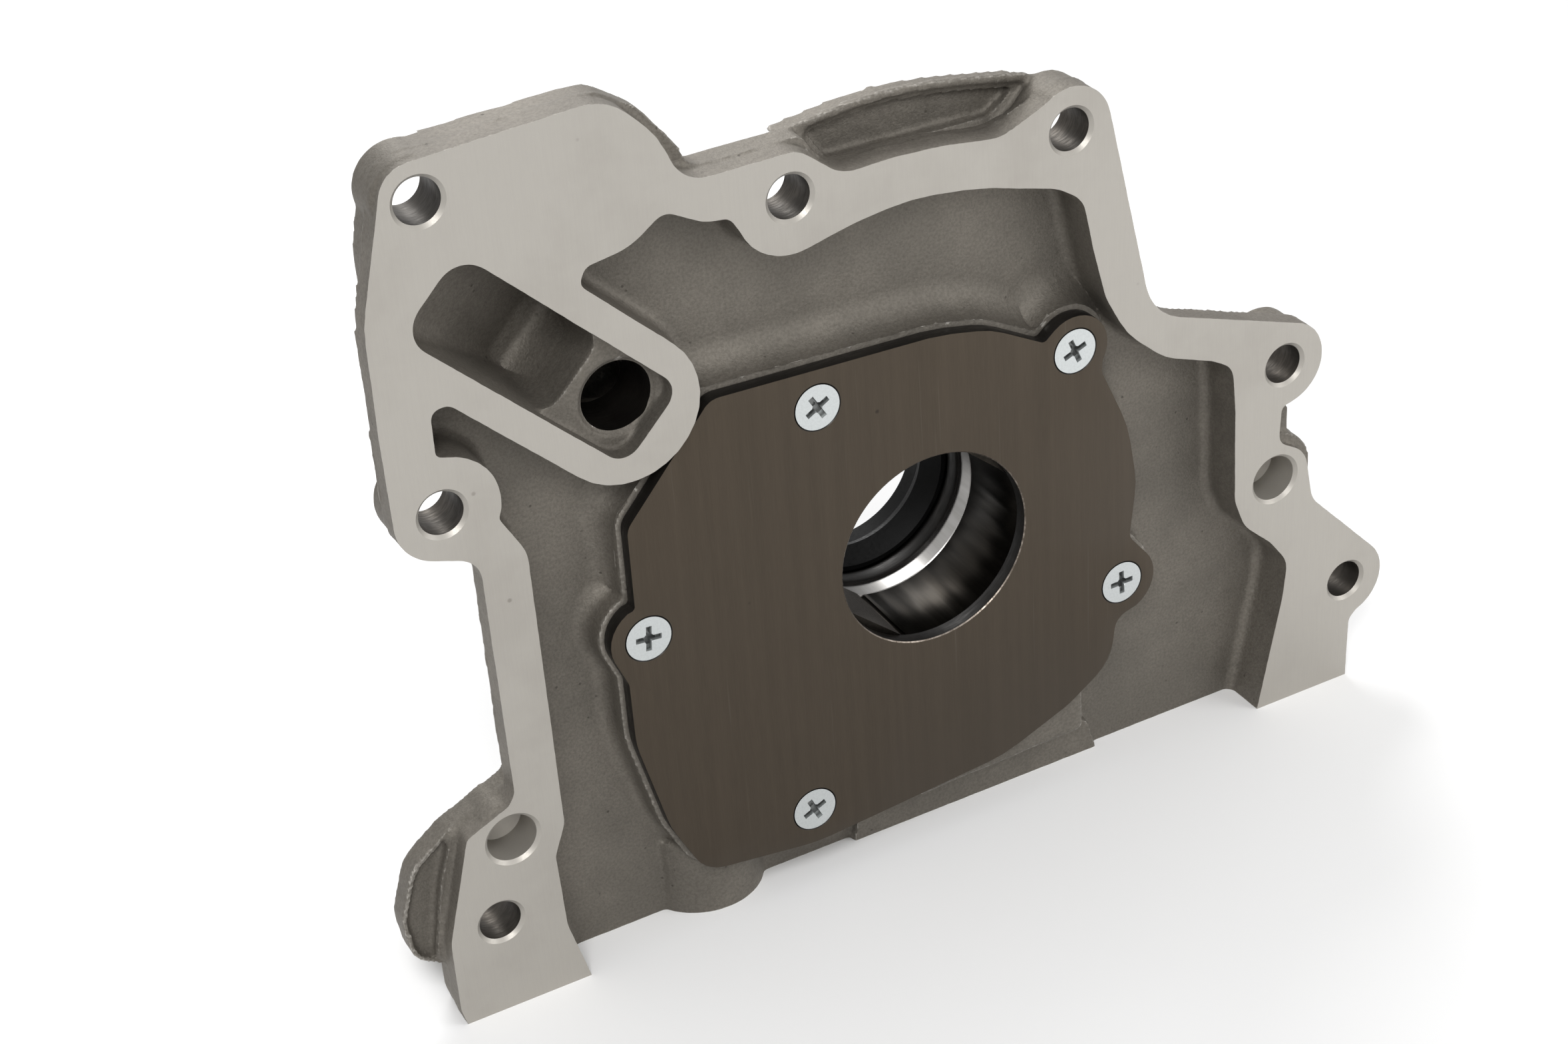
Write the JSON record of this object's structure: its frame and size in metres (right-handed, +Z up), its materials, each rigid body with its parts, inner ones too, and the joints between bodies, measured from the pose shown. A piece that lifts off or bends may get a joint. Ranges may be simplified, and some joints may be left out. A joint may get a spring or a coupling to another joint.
{
  "type": "engine oil pump",
  "caption": "Crankshaft-driven gerotor oil pump in a cast front housing, with a gasket flange, steel cover plate, crankshaft seal and relief valve.",
  "frame": {"origin": "centre of the crankshaft hole, in the plane of the cover plate's outer face", "axes": "+Y along the crankshaft from the engine block to the pulley side, +Z up, +X to the right seen from the block; the gasket face is at y = -0.5 mm and the sump face at z = -69 mm"},
  "size_m": [0.2245, 0.0415, 0.1781],
  "materials": {
    "cast_housing": "cast, with machined faces",
    "ground_steel": "ground",
    "zinc_steel": "zinc plated",
    "sintered_steel": "sintered and polished",
    "seal_rubber": "smooth",
    "spring_steel": "drawn wire",
    "copper_washer": "satin"
  },
  "bodies": {
    "housing": {"pump_housing": "cast_housing", "rotor_cover_plate": "ground_steel", "cover_screws": "zinc_steel", "seal_case": "seal_rubber", "seal_lip": "seal_rubber", "seal_garter_spring": "spring_steel", "relief_spring": "spring_steel", "relief_plug": "zinc_steel", "relief_plug_washer": "copper_washer"},
    "inner_rotor": {"inner_rotor": "sintered_steel"},
    "outer_rotor": {"outer_rotor": "sintered_steel"},
    "relief_piston": {"relief_piston": "ground_steel"}
  },
  "joints": [
    {"name": "inner_rotor_spin", "type": "hinge", "parent": "housing", "child": "inner_rotor", "pos_m": [0, 0.012, 0], "axis": [0, -1, 0], "continuous": true},
    {"name": "outer_rotor_spin", "type": "hinge", "parent": "housing", "child": "outer_rotor", "pos_m": [0.00212, 0.012, -0.00212], "axis": [0, -1, 0], "continuous": true},
    {"name": "relief_piston_slide", "type": "slide", "parent": "housing", "child": "relief_piston", "axis": [-1, 0, 0], "range_m": [0, 0.006], "stiffness_N_per_m": 2000, "springref_m": -0.004, "deforming": ["relief_spring"]}
  ],
  "couplings": [
    {"joint": "outer_rotor_spin", "follows": "inner_rotor_spin", "ratio": 0.88889}
  ]
}
